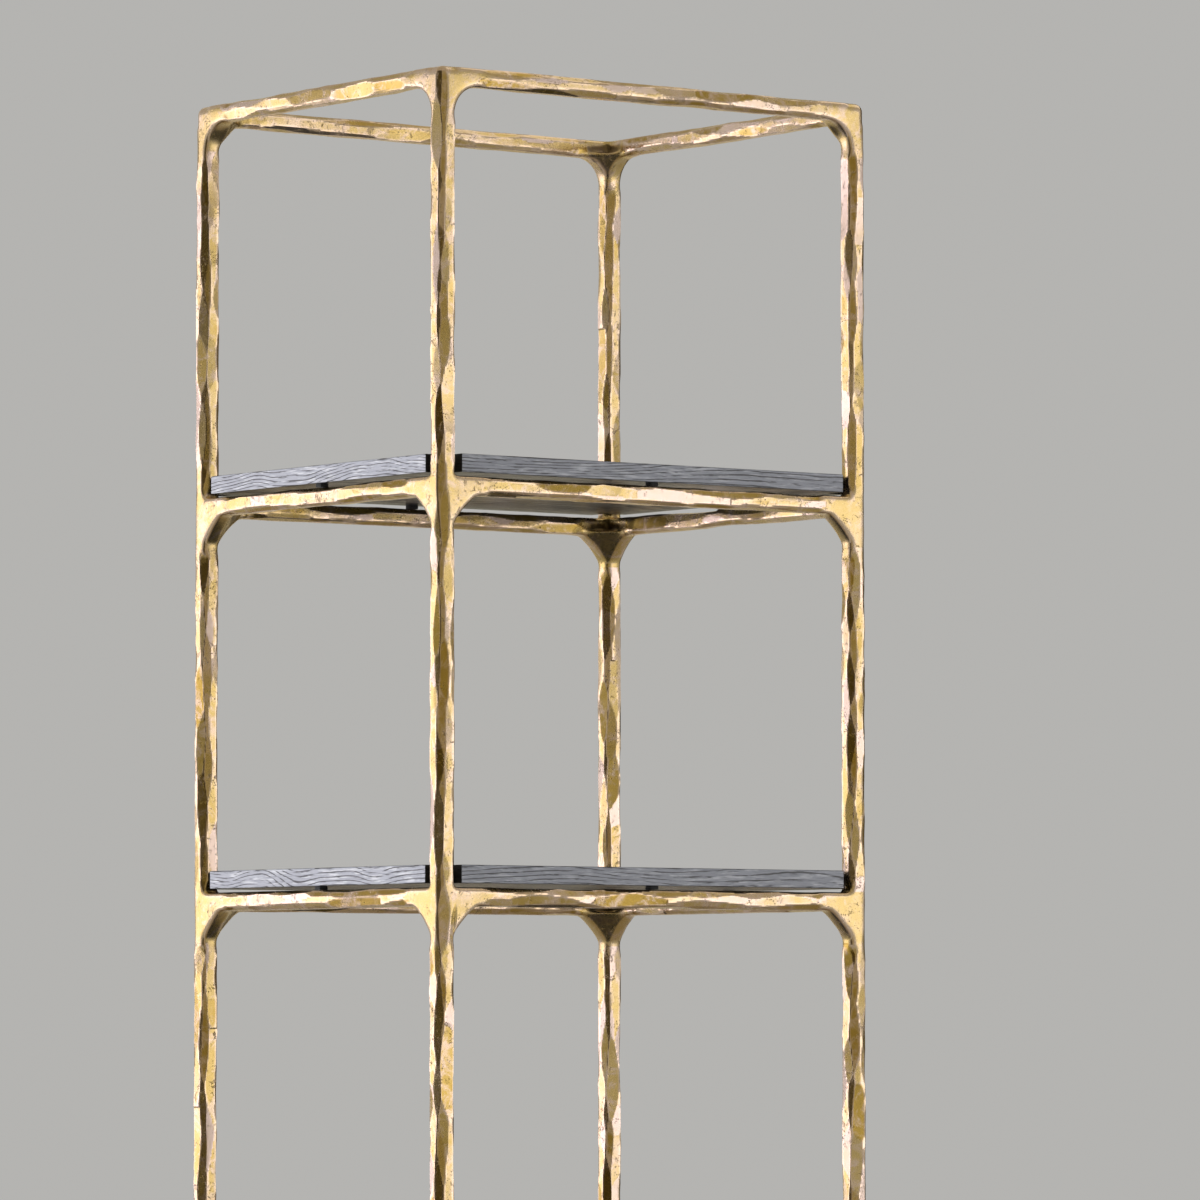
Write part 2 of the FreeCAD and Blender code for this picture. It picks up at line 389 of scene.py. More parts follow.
def charcoal_oak(name, settings, centre, shift):
    """Open-grained oak in a charcoal stain, with the grain along the shelf's width. The edges
    are paler, partly a limed stain and partly painted sheen, and the notch faces carry painted
    shade.
    """
    material, finish = new_finish(f"{name}_oak")
    local = finish.place(centre=centre)
    facing = finish.add("NewGeometry", output="Normal")
    upward = finish.add("SeparateXYZ", {"Vector": facing}, output="Z")
    sideward = finish.add("SeparateXYZ", {"Vector": facing}, output="X")
    level = finish.step(upward.math("ABSOLUTE", upward), 0.3, 0.9)
    end_edge = finish.step(sideward.math("ABSOLUTE", sideward), 0.3, 0.9)

    def streaks(along, across, detail):
        """Noise drawn out along the grain, and along the edge on the shelf's two ends."""
        depth = across - end_edge * (across - along)
        scale = finish.add("CombineXYZ", {"X": along, "Y": depth, "Z": across})
        shifted = finish.add("VectorMath", {0: local, 1: tuple(shift)}, operation="ADD")
        place = finish.add("VectorMath", {0: shifted, 1: scale}, operation="MULTIPLY")
        return finish.noise(place, 1.0, detail, 0.6)

    height = finish.add("SeparateXYZ", {"Vector": local}, output="Z")
    swirl = finish.noise(finish.place((1.6, 4.2, 7.0), centre + shift), 1.0, 2.0, 0.45)
    growth = (height + swirl * 0.10 + streaks(9.0, 60.0, 3.0) * 0.005) / 0.0042
    phase = growth.math("FRACT", growth)
    strength = streaks(14.0, 240.0, 2.0)
    ring = finish.step(phase, 0.30, 0.84) * (1.0 - finish.step(phase, 0.88, 1.0))
    narrow = finish.step(phase, 0.64, 0.84) * (1.0 - finish.step(phase, 0.88, 1.0))
    band = narrow + level * (ring - narrow)
    line = band * finish.step(strength, 0.36, 0.56)
    pores = finish.step(streaks(60.0, 820.0, 2.0), 0.52, 0.64) * (ring * 0.7 + 0.3)
    fibre = streaks(16.0, 520.0, 4.0)
    brushed_sheen = finish.step(streaks(34.0, 360.0, 3.0), 0.50, 0.66)

    grain = line * (1.05 - level * 0.35) + pores * 0.6 + (fibre - 0.5) * (0.5 + level * 0.4)
    # Painted reflection: the edges are paler than the faces, with pale streaks along the brushed
    # grain. This is partly a limed stain and partly the side lamp's sheen painted in
    edge = finish.mix(brushed_sheen * 0.55, settings.oak_edge_and_sheen, settings.oak_streak_sheen)
    ground = finish.mix(level, edge, settings.oak_face)
    wood = finish.mix(finish.step(grain, -0.1, 0.85), ground, settings.oak_grain)
    # Painted shade: the faces in the corner notches are laid near-black and left matt and
    # uncoated, darker than the shade that falls there
    notch_shade = notch_shade_mask(finish, local, settings)
    notch_shade_black = (0.004, 0.004, 0.005)
    finish.surface(
        bump_height=fibre * 0.2 - line * 0.35 - pores * 0.8,
        bump_depth=0.0004,
        **{
            "Base Color": finish.mix(notch_shade, wood, notch_shade_black),
            "Roughness": 0.32 + grain * 0.2 + notch_shade * 0.4 + level * 0.12,
            "Coat Weight": 0.8 - notch_shade * 0.8 - level * 0.5,
            "Coat Roughness": 0.14,
        })
    return material


def notch_shade_mask(finish, local, settings):
    """1 on the faces of the shelf's corner notches, which get painted shade in near-black, 0
    elsewhere.
    """
    skin = 0.0004
    factor = 1.0
    for axis, leg in (("X", LEG_X), ("Y", LEG_Y)):
        along = finish.add("SeparateXYZ", {"Vector": local}, output=axis)
        edge = leg - HALF_BAR - settings.notch_clearance
        distance = along.math("ABSOLUTE", along)
        factor = finish.step(distance, edge - 2 * skin, edge - skin) * factor
    return factor


def dark_felt():
    """Dense felt with short fibres."""
    material, finish = new_finish("dark_felt")
    fibres = finish.noise(finish.place(), 2600.0, 4.0, 0.7)
    colour = finish.mix(fibres, (0.010, 0.010, 0.010), (0.05, 0.048, 0.045))
    finish.surface(
        bump_height=fibres, bump_depth=0.0004,
        **{"Base Color": colour, "Roughness": 0.95, "Sheen Weight": 0.3})
    return material


def zinc_steel():
    """Bright zinc plate, slightly clouded, with fine turning marks."""
    material, finish = new_finish("zinc_steel")
    place = finish.place()
    cloud = finish.noise(place, 160.0, 4.0, 0.6)
    turned = finish.noise(finish.place((40.0, 40.0, 9000.0)), 1.0, 2.0, 0.5)
    finish.surface(
        bump_height=turned, bump_depth=0.00002,
        **{
            "Base Color": finish.mix(cloud, (0.52, 0.53, 0.54), (0.72, 0.72, 0.70)),
            "Metallic": 1.0,
            "Roughness": 0.24 + cloud * 0.18,
        })
    return material


def moulded_nylon():
    """Black moulded nylon with a fine matt grain and faint scuffs."""
    material, finish = new_finish("moulded_nylon")
    grain = finish.noise(finish.place(), 1500.0, 3.0, 0.6)
    rubbing = finish.noise(finish.place((60.0, 60.0, 300.0)), 1.0, 4.0, 0.7)
    scuff = finish.step(rubbing, 0.55, 0.75)
    finish.surface(
        bump_height=grain, bump_depth=0.00008,
        **{
            "Base Color": finish.mix(scuff * 0.5, (0.022, 0.022, 0.023), (0.10, 0.10, 0.10)),
            "Roughness": 0.48 + scuff * 0.2,
        })
    return material


# Mesh helpers

def mesh_object(name, bm):
    """An object at the origin from a bmesh, which is freed."""
    mesh = bpy.data.meshes.new(name)
    bm.to_mesh(mesh)
    bm.free()
    obj = bpy.data.objects.new(name, mesh)
    bpy.context.scene.collection.objects.link(obj)
    return obj


def dress(obj, body, material, nodes):
    """Gives a piece its finish and its body, and hides the nodes that it stands for."""
    obj.data.materials.clear()
    obj.data.materials.append(material)
    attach(obj, body)
    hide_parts(*nodes)
    return obj


def add_block(bm, low, high):
    """A box between two corners. Returns its vertices."""
    place = Matrix.Translation((low + high) / 2) @ Matrix.Diagonal((*(high - low), 1))
    return bmesh.ops.create_cube(bm, size=1, matrix=place)["verts"]


def extrude(bm, face, way):
    """Draws a face out along a vector into a solid."""
    grown = bmesh.ops.extrude_face_region(bm, geom=[face])["geom"]
    moved = [item for item in grown if isinstance(item, bmesh.types.BMVert)]
    bmesh.ops.translate(bm, verts=moved, vec=way)


def ease_edges(bm, width, segments):
    """Bevels every edge of the bmesh."""
    bmesh.ops.bevel(
        bm, geom=list(bm.edges), offset=width, segments=segments, profile=0.5,
        affect="EDGES", material=-1)


def spun(bm, profile, axis_x, axis_y, segments):
    """Turns a chain of (radius, height) points about a vertical axis."""
    verts = [bm.verts.new((axis_x + radius, axis_y, height)) for radius, height in profile]
    edges = [bm.edges.new(pair) for pair in zip(verts, verts[1:])]
    bmesh.ops.spin(
        bm, geom=verts + edges, cent=(axis_x, axis_y, 0), axis=Z_AXIS, angle=math.tau,
        steps=segments, use_merge=True)


def clean(bm, distance=1e-6):
    """Merges doubles and points every face outwards."""
    bmesh.ops.remove_doubles(bm, verts=bm.verts, dist=distance)
    bmesh.ops.recalc_face_normals(bm, faces=bm.faces)


# Forged frame

# A bar from its start along its axis, with the ways towards two of its sides
Bar = namedtuple("Bar", "start axis side up length")


def leg_bar(corner):
    """The bar of the leg at a corner."""
    sign_x, sign_y = CORNERS[corner]
    low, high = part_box(f"leg_{corner}")
    start = Vector((sign_x * LEG_X, sign_y * LEG_Y, low.z))
    return Bar(start, Z_AXIS, X_AXIS, Y_AXIS, high.z - low.z)


def rail_bar(ring, side):
    """The bar of a ring's rail on one side."""
    low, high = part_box(f"rail_{ring}_{side}")
    centre = (low + high) / 2
    if side in ("front", "back"):
        return Bar(Vector((low.x, centre.y, centre.z)), X_AXIS, Y_AXIS, Z_AXIS, high.x - low.x)
    return Bar(Vector((centre.x, low.y, centre.z)), Y_AXIS, X_AXIS, Z_AXIS, high.y - low.y)


def add_web(bm, corner, along, outer, reach, sag):
    """A three-cornered web under a rail's end, hollowed between the rail and the leg.
    On its outer side it is all but level with both."""
    outward = (along - Z_AXIS).normalized()
    chord = reach * math.sqrt(2)
    radius = (chord ** 2 / 4 + sag ** 2) / (2 * sag)
    centre = corner + (along - Z_AXIS) * (reach / 2) + outward * (radius - sag)
    spoke = corner + along * reach - centre
    angle = 2 * math.asin(chord / 2 / radius)
    axis = spoke.cross(corner - Z_AXIS * reach - centre).normalized()
    seat = HALF_BAR / 4
    outer_gap = 0.0003
    steps = 8
    outline = [corner + (Z_AXIS - along) * seat, corner + along * reach + Z_AXIS * seat]
    outline += [
        centre + Matrix.Rotation(angle * step / steps, 3, axis) @ spoke
        for step in range(steps + 1)
    ]
    outline.append(corner - Z_AXIS * reach - along * seat)
    face = bm.faces.new([bm.verts.new(point - outer * HALF_WEB) for point in outline])
    extrude(bm, face, outer * (HALF_WEB + HALF_BAR - outer_gap))


def add_gusset(bm, corner, along_x, along_y, reach):
    """Fills the crook between the two webs on a leg's inner edge."""
    points = (corner, corner + along_x * reach, corner + along_y * reach,
              corner - Z_AXIS * reach)
    verts = [bm.verts.new(point) for point in points]
    for leave in verts:
        bm.faces.new([vert for vert in verts if vert is not leave])


def raw_frame(settings):
    """Legs, rails and webs as overlapping solids, before they are forged together."""
    bm = bmesh.new()
    for corner, (sign_x, sign_y) in CORNERS.items():
        add_block(bm, *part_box(f"leg_{corner}"))
        for ring in RINGS:
            sag = settings.top_web_sag if ring == "top" else settings.shelf_web_sag
            reach = WEB_REACH[ring] - (0 if ring == "top" else settings.web_trim)
            under = RING_Z[ring] - HALF_BAR
            wide_end = Vector((sign_x * (LEG_X - HALF_BAR), sign_y * LEG_Y, under))
            deep_end = Vector((sign_x * LEG_X, sign_y * (LEG_Y - HALF_BAR), under))
            add_web(bm, wide_end, X_AXIS * -sign_x, Y_AXIS * sign_y, reach, sag)
            add_web(bm, deep_end, Y_AXIS * -sign_y, X_AXIS * sign_x, reach, sag)
            inner = Vector((wide_end.x, deep_end.y, under)) + Z_AXIS * (HALF_BAR / 2)
            fill = settings.gusset_share * reach
            add_gusset(bm, inner, X_AXIS * -sign_x, Y_AXIS * -sign_y, fill)
    for ring in RINGS:
        for side in SIDES:
            low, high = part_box(f"rail_{ring}_{side}")
            overlap = rail_bar(ring, side).axis * HALF_BAR
            add_block(bm, low - overlap, high + overlap)
    clean(bm, 1e-7)
    return mesh_object("raw_frame", bm)


def forge_weld(obj, step):
    """Melts the overlapping solids into one skin of even quads."""
    remesh = obj.modifiers.new("Weld", "REMESH")
    remesh.mode = "VOXEL"
    remesh.voxel_size = step
    graph = bpy.context.evaluated_depsgraph_get()
    skin = bpy.data.meshes.new_from_object(obj.evaluated_get(graph))
    obj.modifiers.clear()
    obj.data = skin
    return obj


def read_rows(items, field, width, kind=float):
    """A field of a mesh's vertices, edges, faces or corners, one row for each of them."""
    values = np.empty(len(items) * width, kind)
    items.foreach_get(field, values)
    return values.reshape(-1, width)


def read_edges(mesh):
    """The two vertices of each edge of a mesh."""
    return read_rows(mesh.edges, "vertices", 2, np.int64)


def relax(points, edges, weight, rounds):
    """Draws each point towards the mean of its neighbours by its weight."""
    count = len(points)
    first, second = edges.T
    degree = np.bincount(first, minlength=count) + np.bincount(second, minlength=count)
    points = points.copy()
    for _ in range(rounds):
        mean = np.stack([
            np.bincount(first, points[second, axis], count)
            + np.bincount(second, points[first, axis], count)
            for axis in range(3)
        ], axis=1) / degree[:, None]
        points += weight[:, None] * (mean - points)
    return points


def smooth_rise(value):
    """0 below 0, 1 above 1, and smooth between."""
    value = np.clip(value, 0, 1)
    return value * value * (3 - 2 * value)


def knuckle_gap(points):
    """How far each point lies from the nearest knuckle, where legs, rails and webs meet."""
    nearest = np.full(len(points), np.inf)
    from_legs = np.stack([
        np.abs(np.abs(points[:, 0]) - LEG_X), np.abs(np.abs(points[:, 1]) - LEG_Y),
    ], axis=1)
    for ring in RINGS:
        reach = WEB_REACH[ring]
        sideways = np.maximum(from_legs.max(axis=1) - HALF_BAR - reach, 0)
        height = points[:, 2] - RING_Z[ring]
        upward = np.maximum(height - HALF_BAR, -height - HALF_BAR - reach)
        nearest = np.minimum(nearest, np.maximum(sideways, upward))
    return np.maximum(nearest, 0)


def soften(points, edges, gap, rounds):
    """Runs the knuckles softly together, and takes the stair steps off the whole skin."""
    pull = 0.9
    slight_pull = 0.5
    knuckle = pull * (1 - smooth_rise(gap / SOFT_END))
    points = relax(points, edges, knuckle, rounds)
    return relax(points, edges, np.full(len(points), slight_pull), 2)


def bar_reach(angle, squareness):
    """From a bar's axis to its softened side, in the direction of an angle."""
    power = squareness / (squareness - 1)
    reach = abs(math.cos(angle)) ** power + abs(math.sin(angle)) ** power
    return HALF_BAR * reach ** (1 / power)


def hammer(points, tone, gap, bar, open_turns, keen_turns, force, settings, rng):
    """Planes one bar with twelve rows of strikes: one on each side and two on each corner.
    The open turns are struck right through the knuckles and the others stop short of them.
    The keen turns are struck more lightly, so that their corners stay fuller.
    The random draws keep their order, so that a seed always gives the same frame."""
    offset = points - np.array(bar.start)
    along, side, up = (offset @ np.array(way) for way in (bar.axis, bar.side, bar.up))
    limit = HALF_BAR * 1.06
    window = 0.075
    near = (np.abs(side) < limit) & (np.abs(up) < limit) & (along > -limit)
    chosen = np.flatnonzero(near & (along < bar.length + limit))
    chosen = chosen[np.argsort(along[chosen])]
    along, side, up = along[chosen], side[chosen], up[chosen]
    hold = smooth_rise(gap[chosen] / FULL_FORCE)
    tones = tone[chosen]
    for turn in range(TURNS):
        weight = np.ones(len(chosen)) if turn in open_turns else hold
        on_side = turn % TURNS_PER_SIDE == 0
        keen = turn in keen_turns
        square = settings.keen_squareness if keen else settings.squareness
        cut = force * (settings.side_cut if on_side else settings.corner_cut)
        centre = rng.uniform(-0.5, 0.0) * settings.strike_spacing
        while centre < bar.length + settings.strike_spacing:
            angle = math.radians(360 / TURNS * turn + rng.normal(0, 5.0 if on_side else 12.0))
            share = rng.uniform(0, 1) * (0.42 if keen else 1.0)
            if turn in open_turns:
                share = 0.25 + 0.6 * share
            depth = bar_reach(angle, square) - share * cut
            tilt = rng.normal(0, 0.02)
            curl_radius = rng.uniform(0.25, 0.90) if on_side else rng.uniform(0.16, 0.55)
            curl = force / (2 * curl_radius)
            shade = rng.uniform(0.25, 1) if on_side else rng.uniform(0, 0.6)
            first, last = np.searchsorted(along, (centre - window, centre + window))
            span = slice(first, last)
            away = along[span] - centre
            across = side[span] * math.cos(angle) + up[span] * math.sin(angle)
            proud = across + tilt * away - depth - curl * away ** 2
            push = np.maximum(proud, 0) * weight[span]
            side[span] -= push * math.cos(angle)
            up[span] -= push * math.sin(angle)
            tones[span] = np.where(push > 1e-6, shade, tones[span])
            centre += settings.strike_spacing * rng.uniform(0.55, 1.45)
    ways = np.array([bar.axis, bar.side, bar.up])
    points[chosen] = np.stack([along, side, up], axis=1) @ ways + np.array(bar.start)
    tone[chosen] = tones


def outer_turns(corner):
    """Which two of a leg's twelve turns face away from the whole unit."""
    first = {(1, 1): 1, (-1, 1): 4, (-1, -1): 7, (1, -1): 10}[CORNERS[corner]]
    return {first, first + 1}


def hammer_frame(points, gap, settings):
    """Hammers every leg and rail. Returns the tone that the strikes leave on each point."""
    middling = 0.5
    tone = np.full(len(points), middling)
    rng = np.random.default_rng(settings.seed)
    for corner in CORNERS:
        bar = leg_bar(corner)
        hammer(points, tone, gap, bar, outer_turns(corner), KEEN_TURNS, 1.0, settings, rng)
    for ring in RINGS:
        for side in SIDES:
            bar = rail_bar(ring, side)
            hammer(points, tone, gap, bar, (), (), settings.rail_force, settings, rng)
    return tone


def face_labels(mesh):
    """For each face, the index of the rail or leg that it belongs to, and the names.
    The knuckles and the rails' stubs beside them belong to the legs."""
    centres = read_rows(mesh.polygons, "center", 3)
    corners = list(CORNERS)
    names = [f"leg_{corner}" for corner in corners]
    labels = np.zeros(len(centres), np.int32)
    for index, corner in enumerate(corners):
        sign_x, sign_y = CORNERS[corner]
        labels[(centres[:, 0] * sign_x > 0) & (centres[:, 1] * sign_y > 0)] = index
    free = knuckle_gap(centres) > RAIL_START
    for ring in RINGS:
        level = free & (np.abs(centres[:, 2] - RING_Z[ring]) < 1.5 * HALF_BAR)
        for side in SIDES:
            bar = rail_bar(ring, side)
            offset = centres - np.array(bar.start)
            beside = np.abs(offset @ np.array(bar.side)) < 1.5 * HALF_BAR
            along = offset @ np.array(bar.axis)
            between = (along > 0) & (along < bar.length)
            labels[level & beside & between] = len(names)
            names.append(f"rail_{ring}_{side}")
    return labels, names


def cut_piece(name, quads, points, fields):
    """A piece made of some of the skin's quads, with its share of the skin's fields."""
    used, local = np.unique(quads, return_inverse=True)
    mesh = bpy.data.meshes.new(name)
    mesh.vertices.add(len(used))
    mesh.vertices.foreach_set("co", points[used].ravel())
    mesh.loops.add(quads.size)
    mesh.loops.foreach_set("vertex_index", local.ravel())
    mesh.polygons.add(len(quads))
    mesh.polygons.foreach_set("loop_start", np.arange(0, quads.size, 4))
    mesh.update(calc_edges=True)
    for field, values in fields.items():
        attribute = mesh.attributes.new(field, "FLOAT", "POINT")
        attribute.data.foreach_set("value", values[used].astype(np.float32))
    obj = bpy.data.objects.new(name, mesh)
    bpy.context.scene.collection.objects.link(obj)
    return obj, used


def close_ends(obj):
    """Fills the cut ends of a piece and keeps its shading crisp there."""
    bm = bmesh.new()
    bm.from_mesh(obj.data)
    rims = [edge for edge in bm.edges if edge.is_boundary]
    bmesh.ops.holes_fill(bm, edges=rims, sides=0)
    for edge in rims:
        edge.smooth = False
    bm.to_mesh(obj.data)
    bm.free()


def seam_shade_lines(tone, edges):
    """1 on the duller side of each border between two strikes, where the brass gets thin painted
    shade lines.
    """
    least = 0.02
    first, second = edges.T
    seam_shade = np.zeros(len(tone))
    seam_shade[first[tone[first] < tone[second] - least]] = 1
    seam_shade[second[tone[second] < tone[first] - least]] = 1
    return seam_shade


def crisp_strikes(mesh, clear):
    """Smooth shading, except where strikes on the clear edges meet at a plain angle."""
    mesh.set_sharp_from_angle(angle=math.radians(9))
    crisp = mesh.attributes["sharp_edge"].data
    sharp = np.empty(len(crisp), bool)
    crisp.foreach_get("value", sharp)
    crisp.foreach_set("value", sharp & clear)


def hollows(mesh, points, edges):
    """How deep each point lies in a hollow, about 1 in the crook of a knuckle."""
    normals = read_rows(mesh.vertices, "normal", 3)
    full_depth = 0.0011
    softened = relax(points, edges, np.ones(len(points)), 14)
    depth = ((softened - points) * normals).sum(axis=1)
    return np.clip(depth / full_depth, -1, 1)


def crooks(points, gap):
    """1 on the inner side of each knuckle, where tarnish gathers."""
    start = 0.003
    spread = 0.006
    inner = np.minimum(LEG_X - np.abs(points[:, 0]), LEG_Y - np.abs(points[:, 1]))
    return smooth_rise((inner - start) / spread) * (1 - smooth_rise(gap / spread))


def round_tops(points, radius):
    """Rounds off the frame's four upper corners."""
    outer = np.array((LEG_X, LEG_Y, RING_Z["top"])) + HALF_BAR - radius
    sign = np.array([np.sign(points[:, 0]), np.sign(points[:, 1]), np.ones(len(points))]).T
    past = points * sign - outer
    over = np.maximum(past, 0)
    length = np.maximum(np.linalg.norm(over, axis=1), radius)
    weight = smooth_rise((past.min(axis=1) + 2 * radius) / radius)
    excess = over * (1 - radius / length)[:, None] * weight[:, None]
    return points - excess * sign


class SHELVING_OT_forge_frame(bpy.types.Operator):
    """Forge the brass legs, rails and webs, and hammer their faces"""

    bl_idname = "shelving.forge_frame"
    bl_label = "Forge Frame"

    def execute(self, context):
        settings = context.scene.shelving
        skin = forge_weld(raw_frame(settings), settings.mesh_step)
        mesh = skin.data
        edges = read_edges(mesh)
        points = read_rows(mesh.vertices, "co", 3)
        gap = knuckle_gap(points)
        points = soften(points, edges, gap, settings.knuckle_rounds)
        tone = hammer_frame(points, gap, settings)
        points = round_tops(points, settings.top_round)
        low, high = (np.array(corner) for corner in cad_bounds)
        low[2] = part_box("leg_front_left")[0].z
        points = np.clip(points, low, high)

        mesh.vertices.foreach_set("co", points.ravel())
        mesh.update()
        fields = {
            "strike_tone": tone,
            "hollow": hollows(mesh, points, edges) + 0.55 * crooks(points, gap),
            "seam_shade": seam_shade_lines(tone, edges),
        }
        quads = read_rows(mesh.loops, "vertex_index", 1, np.int64).reshape(-1, 4)
        labels, names = face_labels(mesh)
        brass = hammered_brass(settings)
        webs = [f"webs_{ring}" for ring in RINGS]
        for label, name in enumerate(names):
            piece, used = cut_piece(f"forged_{name}", quads[labels == label], points, fields)
            clear = gap[used][read_edges(piece.data)].min(axis=1) > CRISP_START
            crisp_strikes(piece.data, clear)
            close_ends(piece)
            nodes = [name] + (webs if name.startswith("leg_") else [])
            dress(piece, "frame", brass, nodes)
        bpy.data.objects.remove(skin)
        return {"FINISHED"}


# Shelves

def notched_board(name, settings):
    """A board with a square notch at each corner and softly eased edges."""
    low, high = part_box(name)
    notch_x = LEG_X - HALF_BAR - settings.notch_clearance
    notch_y = LEG_Y - HALF_BAR - settings.notch_clearance
    quarter = [(high.x, notch_y), (notch_x, notch_y), (notch_x, high.y)]
    outline = []
    for sign_x, sign_y in ((1, 1), (-1, 1), (-1, -1), (1, -1)):
        corner = quarter if sign_x * sign_y > 0 else quarter[::-1]
        outline += [(sign_x * x, sign_y * y, low.z) for x, y in corner]
    bm = bmesh.new()
    face = bm.faces.new([bm.verts.new(point) for point in outline])
    extrude(bm, face, Z_AXIS * (high.z - low.z))
    clean(bm)
    ease_edges(bm, settings.arris, segments=2)
    return mesh_object(f"board_{name}", bm)


class SHELVING_OT_cut_shelves(bpy.types.Operator):
    """Cut the notched oak shelves and stain them"""

    bl_idname = "shelving.cut_shelves"
    bl_label = "Cut Shelves"

    def execute(self, context):
        settings = context.scene.shelving
        # Each board shows another stretch of the grain
        next_board = Vector((0.37, 0.21, 0.11))
        for count, name in enumerate(SHELVES, 1):
            board = notched_board(name, settings)
            shift = next_board * count
            oak = charcoal_oak(name, settings, middle(name), shift)
            dress(board, name, oak, [name])
        return {"FINISHED"}


# Felt pads

def felt_pads(node):
    """The four pads under a shelf, each a small block with soft edges."""
    low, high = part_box(node)
    half_pad = HALF_BAR / 2
    bm = bmesh.new()
    for x, y in ((LEG_X, 0), (-LEG_X, 0), (0, LEG_Y), (0, -LEG_Y)):
        add_block(
            bm, Vector((x - half_pad, y - half_pad, low.z)),
            Vector((x + half_pad, y + half_pad, high.z)))
    ease_edges(bm, width=0.0006, segments=3)
    obj = mesh_object(f"felt_{node}", bm)
    obj.data.shade_smooth()
    return obj


class SHELVING_OT_place_pads(bpy.types.Operator):
    """Place the felt pads between the shelves and the rails"""

    bl_idname = "shelving.place_pads"
    bl_label = "Place Pads"

    def execute(self, context):
        felt = dark_felt()
        for name in SHELVES:
            node = name.replace("shelf_", "shelf_pads_")
            dress(felt_pads(node), name, felt, [node])
        return {"FINISHED"}


# Levelling feet

def threaded_shank(bm, x, y, low, high):
    """A screw thread, one tooth spun round and up the shank."""
    crest = THREAD_RADIUS
    root = THREAD_RADIUS - 0.6 * THREAD_PITCH
    tooth = [(root, 0), (crest, 0.38), (crest, 0.5), (root, 0.88), (root, 1)]
    verts = [
        bm.verts.new((x + radius, y, low + share * THREAD_PITCH)) for radius, share in tooth
    ]
    edges = [bm.edges.new(pair) for pair in zip(verts, verts[1:])]
    steps = 16
    turns = int((high - low) / THREAD_PITCH) - 1
    bmesh.ops.spin(
        bm, geom=verts + edges, cent=(x, y, 0), axis=Z_AXIS, angle=math.tau * turns,
        steps=steps * turns, dvec=Z_AXIS * (THREAD_PITCH / steps))


def levelling_screw(corner):
    """Neck, hexagon and threaded shank of one levelling foot."""
    node = f"levelling_screw_{corner}"
    low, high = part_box(node)
    x, y = middle(node).xy
    hex_radius = half_size(node).x
    base_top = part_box(f"foot_base_{corner}")[1].z
    leg_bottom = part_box(f"leg_{corner}")[0].z
    bm = bmesh.new()
    seat = Matrix.Translation((x, y, base_top)) @ Matrix.Rotation(math.radians(30), 4, "Z")
    hexagon = bmesh.ops.create_circle(
        bm, cap_ends=True, segments=6, radius=hex_radius, matrix=seat)
    extrude(bm, hexagon["verts"][0].link_faces[0], Z_AXIS * (leg_bottom - base_top))
    ease_edges(bm, width=0.0005, segments=2)
    sunk = 0.001
    chamfer = 0.0006
    neck = [(0, low.z), (NECK_RADIUS, low.z), (NECK_RADIUS, base_top + sunk)]
    core = [(CORE_RADIUS, leg_bottom - sunk), (CORE_RADIUS, high.z - chamfer),
            (CORE_RADIUS - chamfer, high.z), (0, high.z)]
    spun(bm, neck, x, y, segments=32)
    spun(bm, core, x, y, segments=32)
    threaded_shank(bm, x, y, leg_bottom, high.z)
    clean(bm)
    obj = mesh_object(f"turned_{node}", bm)
    obj.data.shade_smooth()
    obj.data.set_sharp_from_angle(angle=math.radians(25))
    return obj


def foot_base(corner):
    """The round base on the floor, with a soft shoulder and a socket for the neck."""
    node = f"foot_base_{corner}"
    low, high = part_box(node)
    x, y = middle(node).xy
    radius = half_size(node).x
    height = high.z - low.z
    socket = NECK_RADIUS + 0.00005
    socket_floor = low.z + 0.4 * height
    rim = 0.0007
    facet = 0.0002
    lip = 0.0003
    profile = [
        (0, low.z), (radius - rim, low.z), (radius - facet, low.z + facet),
        (radius, low.z + rim), (radius, low.z + 0.45 * height),
        (radius - 0.0004, low.z + 0.62 * height), (radius - 0.0016, high.z - 0.0005),
        (radius - 0.0026, high.z), (socket + lip, high.z), (socket, high.z - lip),
        (socket, socket_floor), (0, socket_floor),
    ]
    bm = bmesh.new()
    spun(bm, profile, x, y, segments=48)
    clean(bm)
    obj = mesh_object(f"moulded_{node}", bm)
    obj.data.shade_smooth()
    return obj


class SHELVING_OT_fit_feet(bpy.types.Operator):
    """Fit the levelling screws and their round bases"""

    bl_idname = "shelving.fit_feet"
    bl_label = "Fit Feet"

    def execute(self, context):
        steel = zinc_steel()
        nylon = moulded_nylon()
        for corner in CORNERS:
            screw = f"levelling_screw_{corner}"
            base = f"foot_base_{corner}"
            dress(levelling_screw(corner), screw, steel, [screw])
            dress(foot_base(corner), base, nylon, [base])
        return {"FINISHED"}


# Stage, lamps and camera

def soft_lamp(lamp):
    """A large soft lamp that faces the unit. Where it is seen, the brass shows it."""
    data = bpy.data.lights.new(lamp.name, "AREA")
    data.shape = "RECTANGLE"
    data.size = lamp.width
    data.size_y = lamp.height
    data.energy = lamp.power
    data.color = lamp.colour
    obj = bpy.data.objects.new(lamp.name, data)
    obj.location = lamp.place
    aim = Vector(LAMP_TARGET) - Vector(lamp.place)
    obj.rotation_euler = aim.to_track_quat("-Z", "Y").to_euler()
    obj.visible_camera = False
    obj.visible_glossy = lamp.seen
    bpy.context.scene.collection.objects.link(obj)


def dyed_cloth(name, colour):
    """Matt cloth of one colour."""
    material, finish = new_finish(name)
    finish.surface(**{"Base Color": (*colour, 1), "Roughness": 1.0})
    return material


